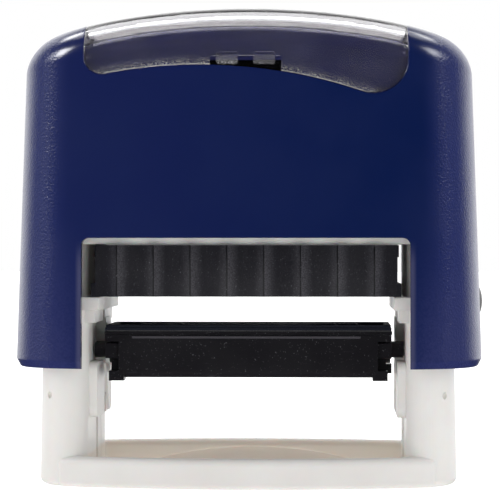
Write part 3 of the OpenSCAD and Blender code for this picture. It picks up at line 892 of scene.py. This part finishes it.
def column(name):
    """The right-hand column, open at the top, with its side wall, shelf, cam lug and slots."""
    feet = rounded_foot(0.9, FOOT_LOW)
    made = loft(name, [column_ring(inset, z) for z, inset in feet] + [column_ring(0, FRAME_TOP)])
    inner = WALL_X + WALL_T
    shelf = block("shelf", (SHELF_X, -SHELF_HALF_Y, SHELF_LOW), (WALL_X + 3, SHELF_HALF_Y, SHELF_TOP))
    web = block("web", (19.9, -12, LUG_TOP - 0.4), (WALL_X + WALL_T / 2, 12, SHELF_LOW + 0.1))
    lugs = prism("lugs", lug_outline(), LUG_X, WALL_X + 0.3, "x")
    for solid in (shelf, web, lugs):
        combine(made, solid, "UNION")
    channel = block("channel", (inner, -CHANNEL_HALF_Y, -1), (CHANNEL_X, CHANNEL_HALF_Y, FRAME_TOP + 1))
    combine(made, channel)
    for y in (-CORE_Y, CORE_Y):
        low = (inner, y - CORE_HALF_Y, FRAME_LOW + CORE_FLOOR)
        combine(made, block("core", low, (CORE_X, y + CORE_HALF_Y, FRAME_TOP + 1)))
    axle_slot = slot_outline(PIN_R + PIN_ROOM, AXLE_Z - STROKE - 0.1, LUG_TOP - 0.1)
    combine(made, prism("slot", axle_slot, LUG_X - 1, inner + 1, "x"))
    combine(made, prism("track", cam_track(), LUG_X - 1, WALL_X + 0.05, "x"))
    mark = ball("mark", MARK_R, 16, 20)
    mark.data.transform(Matrix.Translation(MARK_PLACE))
    return combine(made, mark)


def thick_arc(inset):
    """Plan of the front rail: an arc of the given thickness with round ends."""
    w = RAIL_HALF_T - inset
    centre = (0, RAIL_MID + RAIL_R)
    spread = math.degrees(math.asin(RAIL_END / RAIL_R))
    left, right = 270 - spread, 270 + spread
    ends = [arc(centre, RAIL_R, angle, angle, 1)[0] for angle in (left, right)]
    return (
        arc(centre, RAIL_R + w, left, right, 80)
        + arc(ends[1], w, right, right + 180, 16)[1:-1]
        + arc(centre, RAIL_R - w, right, left, 80)
        + arc(ends[0], w, left + 180, left + 360, 16)[1:-1]
    )


def rail(name):
    """The bowed front rail with rounded edges and a shallow arch in its inner face."""
    low = rounded_foot(0.6, FOOT_LOW)
    high = [(RAIL_TOP + FOOT_LOW - z, inset) for z, inset in reversed(rounded_foot(1.0, FOOT_LOW))]
    rings = []
    for z, inset in low + high:
        flat = np.array(thick_arc(inset))
        rings.append(np.column_stack([flat, np.full(len(flat), z)]))
    made = loft(name, rings)
    arch = prism("arch", arc((0, ARCH_TOP - ARCH_R), ARCH_R, 60, 120, 60), -30, 0)
    circle = np.array(arc((0, RAIL_MID + RAIL_R), RAIL_R - RAIL_HALF_T + 0.5, 0, 360, 360)[:-1])
    disc = prism("disc", circle, -5, 10, "z")
    return combine(made, combine(arch, disc, "INTERSECT"))


def base_frame():
    """Two columns joined by the front and rear rails, with pockets for the foot pads."""
    frame_mesh = column("base_frame_fine")
    left = mirrored(column("column_left"))
    lock_outline = slot_outline(1.45, LOCK_Z - STROKE - 0.3, LOCK_Z)
    combine(frame_mesh, prism("lock_slot", lock_outline, CHANNEL_X - 1, 30, "x"))
    combine(frame_mesh, left, "UNION")
    front = rail("rail_front")
    combine(frame_mesh, turned(front), "UNION")
    combine(frame_mesh, front, "UNION")
    half_x, half_y = PAD_HALF
    for x in (-PAD_X, PAD_X):
        for y in (-PAD_Y, PAD_Y):
            outline = rounded_rect((x - half_x, y - half_y), (x + half_x, y + half_y), PAD_R)
            combine(frame_mesh, prism("pocket", outline, -1, PAD_TOP, "z"))
    stand_for(soften(frame_mesh, 0.18), "base_frame", MATERIALS["base_frame"])


# ---- platen, with its text plate and rubber ----


def carrier_section():
    """End view of the platen, with rounded lower edges."""
    half, low = CARRIER_HALF[1], CARRIER_LOW
    return (
        arc((-half + EDGE_R, low + EDGE_R), EDGE_R, 180, 270)
        + arc((half - EDGE_R, low + EDGE_R), EDGE_R, 270, 360)
        + [(half, PLATE_Z), (-half, PLATE_Z)]
    )


def platen_carrier():
    """The platen's body with a raised seam, end pieces, bored bosses for the axles and three pockets."""
    half_width, half_depth = CARRIER_HALF
    carrier = prism("platen_carrier_fine", carrier_section(), -half_width, half_width, "x")
    lip = block("lip", (-15.4, -half_depth - 0.12, 19.12), (14.9, -half_depth + 0.2, 19.42))
    combine(carrier, lip, "UNION")
    for name, (low, high) in CARRIER_PIECES.items():
        combine(carrier, mirrored(block(name, low, high)), "UNION")
        combine(carrier, block(name, low, high), "UNION")
    for across in (-1, 1):
        boss = round_x("boss", [(END_INNER, 0), (END_INNER, BOSS_R), (END_X, BOSS_R), (END_X, 0)])
        bore = round_x("bore", [(15.9, 0), (15.9, PIN_R + 0.02), (20, PIN_R + 0.02), (20, 0)])
        for made, operation in ((boss, "UNION"), (bore, "DIFFERENCE")):
            made.data.transform(Matrix.Translation((0, 0, AXLE_Z)))
            combine(carrier, mirrored(made) if across < 0 else made, operation)
    for across in (-11.4, 0, 11.4):
        pocket = block("pocket", (across - 4.9, -6.2, 13), (across + 4.9, 6.2, PLATE_Z - 1.4))
        combine(carrier, pocket)
    stand_for(soften(carrier, 0.12), "platen_carrier", MATERIALS["platen_carrier"])


def text_plate():
    """The plate that carries foam and rubber, with rounded edges."""
    low, high = cad_span("text_plate")
    plate = prism("text_plate_fine", rounded_rect(low.xy, high.xy, 0.2), low.z, high.z, "z")
    stand_for(soften(plate, 0.08), "text_plate", MATERIALS["text_plate"])


def rubber_die():
    """A backing sheet with a raised border and plain raised bars."""
    low, high = cad_span("rubber_die")
    face = high.z - 0.35
    die = prism("rubber_die_fine", rounded_rect(low.xy, high.xy, 0.2), low.z, face, "z")
    border = prism("border", rounded_rect(low.xy * 0.995, high.xy * 0.995, 0.2), face - 0.1, high.z, "z")
    inside = rounded_rect((-18.2, -6.4), (18.2, 6.4), 0.4)
    combine(border, prism("inside", inside, face - 1, high.z + 1, "z"))
    combine(die, border, "UNION")
    for y, half in ((3.6, 11), (0, 15), (-3.6, 9)):
        bar = rounded_rect((-half, y - 0.8), (half, y + 0.8), 0.3)
        combine(die, prism("bar", bar, face - 0.1, high.z, "z"), "UNION")
    stand_for(soften(die, 0.05), "rubber_die", MATERIALS["rubber_die"])


# ---- cartridge, lock button and return spring ----


def grip_edge(x):
    """Depth of the fluted grip's face: round hollows between narrow ridges."""
    return -TRAY_HALF[1] + FLUTE_DEPTH * np.abs(np.sin(np.pi * (x / FLUTE_PITCH + 0.5 * FLUTES))) ** 0.8


def cartridge_tray():
    """A tray open below: fluted grips at front and rear, a flange at its foot and a guide at its top."""
    low = cad_span("cartridge_tray")[0]
    half_width, half_depth = TRAY_HALF
    across = np.linspace(-half_width, half_width, 320)
    face = np.column_stack([across, grip_edge(across)])
    tray = prism("cartridge_fine", np.concatenate([face, -face]), low.z, TRAY_TOP, "z")
    flange_y, guide_x, guide_y = half_depth - 0.6, low.x + 0.3, half_depth - 1.5
    flange = block("flange", (low.x, -flange_y, low.z), (-low.x, flange_y, low.z + FLANGE_T))
    guide = block("guide", (guide_x, -guide_y, TRAY_TOP - 1.6), (-guide_x, guide_y, TRAY_TOP - 0.05))
    combine(tray, flange, "UNION")
    combine(tray, guide, "UNION")
    rooms = ((0, FELT_HALF), (-TRAY_CORE_Y, TRAY_CORE_HALF), (TRAY_CORE_Y, TRAY_CORE_HALF))
    for y, (half_x, half_y) in rooms:
        room = block("room", (-half_x, y - half_y, low.z - 1), (half_x, y + half_y, TRAY_TOP - TRAY_ROOF))
        combine(tray, room)
    stand_for(soften(tray, 0.08), "cartridge_tray", MATERIALS["cartridge_tray"])


def lock_button():
    """A glossy domed button on a narrow tip."""
    low, high = cad_span("lock_button")
    neck, r, dome = 29.2, 2.3, 4.8
    crest = [(high.x - dome + math.sqrt(dome**2 - q**2), q) for q in np.linspace(r - 0.25, 0, 16)]
    rim_x = crest[0][0]
    rim = [(rim_x - 0.28, r), (rim_x - 0.12, r - 0.04), (rim_x - 0.03, r - 0.14)]
    tip = [(low.x, 0), (low.x, 1.1), (low.x + 0.2, 1.3), (neck, 1.3), (neck, r)]
    button = round_x("lock_button_fine", tip + rim + crest)
    button.data.transform(Matrix.Translation((0, 0, LOCK_Z)))
    stand_for(smooth(button), "lock_button", MATERIALS["lock_button"])


def return_spring():
    """A coil spring with closed ends, as long as the CAD spring; it keeps that length when the cap goes
    down.
    """
    low, high = cad_span("return_spring")
    wire = 0.375
    radius = high.x - wire
    turns, dead = 8.5, 0.75
    steps = int(turns * 40)
    u = np.linspace(0, turns, steps + 1)
    rise = np.clip((u - dead) / (turns - 2 * dead), 0, 1)
    z = low.z + wire + (high.z - low.z - 2 * wire) * rise
    path = np.stack([radius * np.cos(2 * np.pi * u), radius * np.sin(2 * np.pi * u), z], axis=1)
    spring = sweep("coil_spring", path, wire)
    stand_for(spring, "return_spring", MATERIALS["return_spring"])
    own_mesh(spring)


# ---- studio ----


def floor():
    """A pale floor, brighter to the eye than as a light on the stamp."""
    half = 3000
    corners = [(-half, -half, 0), (half, -half, 0), (half, half, 0), (-half, half, 0)]
    sheet = new_object("floor", corners, [(0, 1, 2, 3)])
    sheet.data.transform(Matrix.Scale(MM, 4))
    m = Nodes("floor_pale")
    m.set(Base_Color=m.mix(m.noise(1 / 60), (0.80, 0.80, 0.80), (0.82, 0.82, 0.82)), Roughness=0.7)
    seen = m.add("ShaderNodeLightPath").outputs["Is Camera Ray"]
    m.set(Emission_Color=(1, 1, 1, 1), Emission_Strength=m.band(seen, 0, 1, 0.5, 0.75))
    sheet.data.materials.append(m.material)
    sheet.visible_glossy = False


def softbox(name, place, aim, size, power, diffuse=True):
    """A rectangular lamp. Without diffuse it makes highlights only."""
    lamp = bpy.data.lights.new(name, "AREA")
    lamp.shape = "RECTANGLE"
    lamp.size, lamp.size_y = size
    lamp.energy = power
    made = bpy.data.objects.new(name, lamp)
    made.location = place
    made.visible_diffuse = diffuse
    made.rotation_euler = (Vector(aim) - Vector(place)).to_track_quat("-Z", "Y").to_euler()
    bpy.context.scene.collection.objects.link(made)


def world():
    """White for the eye. Its light is dim at the front and brighter behind, most of all in reflections."""
    made = bpy.data.worlds.new("studio")
    made.use_nodes = True
    tree = made.node_tree
    tree.nodes.clear()
    ways = tree.nodes.new("ShaderNodeTexCoord")
    split = tree.nodes.new("ShaderNodeSeparateXYZ")
    tree.links.new(ways.outputs["Generated"], split.inputs["Vector"])
    ray = tree.nodes.new("ShaderNodeLightPath")
    # How far behind the stamp a direction lies, counted less for steep ones so that rims stay narrow.
    behind = split.outputs["Y"]
    for heights, shift in (((0.0, 0.15), -0.12), ((-0.07, -0.15), -0.6)):
        total = tree.nodes.new("ShaderNodeMath")
        tree.links.new(behind, total.inputs[0])
        tree.links.new(ramp(tree, split.outputs["Z"], heights, (0.0, shift)), total.inputs[1])
        behind = total.outputs[0]

    def background(front, rear, low, high):
        light = tree.nodes.new("ShaderNodeBackground")
        strength = ramp(tree, behind, (low, high), (front, rear), "SMOOTHSTEP")
        tree.links.new(strength, light.inputs["Strength"])
        return light

    def choose(name, otherwise, when):
        mix = tree.nodes.new("ShaderNodeMixShader")
        tree.links.new(ray.outputs[name], mix.inputs["Fac"])
        tree.links.new(otherwise.outputs[0], mix.inputs[1])
        tree.links.new(when.outputs[0], mix.inputs[2])
        return mix

    soft = background(0.85, 0.70, -0.6, 0.6)
    shine = background(0.03, 2.1, 0.32, 0.75)
    through = background(0.14, 0.80, -0.1, 0.6)
    seen = tree.nodes.new("ShaderNodeBackground")
    out = tree.nodes.new("ShaderNodeOutputWorld")
    lit = choose("Is Glossy Ray", soft, shine)
    mixed = choose("Is Camera Ray", choose("Is Transmission Ray", lit, through), seen)
    seen.inputs["Color"].default_value = (1, 1, 1, 1)
    tree.links.new(mixed.outputs["Shader"], out.inputs["Surface"])
    bpy.context.scene.world = made
    bpy.context.scene.view_settings.view_transform = "Standard"


def lights():
    """Soft light from above and both sides, and small highlights on shoulders and upper front corners."""
    softbox("top", (0, 0.15, 0.60), (0, 0, 0), (0.8, 0.3), 2.4)
    softbox("left", (-0.55, 0.0, 0.18), (0, 0, 0.03), (0.3, 0.4), 0.20)
    softbox("right", (0.57, 0.04, 0.14), (0, 0, 0.03), (0.34, 0.3), 0.05)
    aim = (0, 0, 0.05)
    for name, side, share in (("left", -1, 1.0), ("right", 1, 0.6)):
        shoulder, corner = (side * 0.34, 0.26, 0.56), (side * 0.48, -0.18, 0.34)
        softbox(f"shoulder_{name}", shoulder, aim, (0.14, 0.14), 0.7 * share, diffuse=False)
        softbox(f"corner_{name}", corner, aim, (0.18, 0.18), 2.4 * share, diffuse=False)


def camera():
    """A long lens level with the middle of the stamp, a little to its right, 300 mm from its front."""
    distance, height, turn = 318 * MM, 30.85 * MM, math.radians(2.04)
    sensor, front_distance, seen_width = 36, 300, 64.02
    lens = bpy.data.cameras.new("camera")
    lens.sensor_width = sensor
    lens.lens = sensor * front_distance / seen_width
    lens.clip_start = 0.01
    made = bpy.data.objects.new("camera", lens)
    made.location = (distance * math.sin(turn), -distance * math.cos(turn), height)
    made.rotation_euler = (math.pi / 2, 0, turn)
    bpy.context.scene.collection.objects.link(made)
    bpy.context.scene.camera = made


finish_cad_nodes()
cap_shell()
index_window()
base_frame()
platen_carrier()
text_plate()
rubber_die()
cartridge_tray()
lock_button()
return_spring()
floor()
world()
lights()
camera()
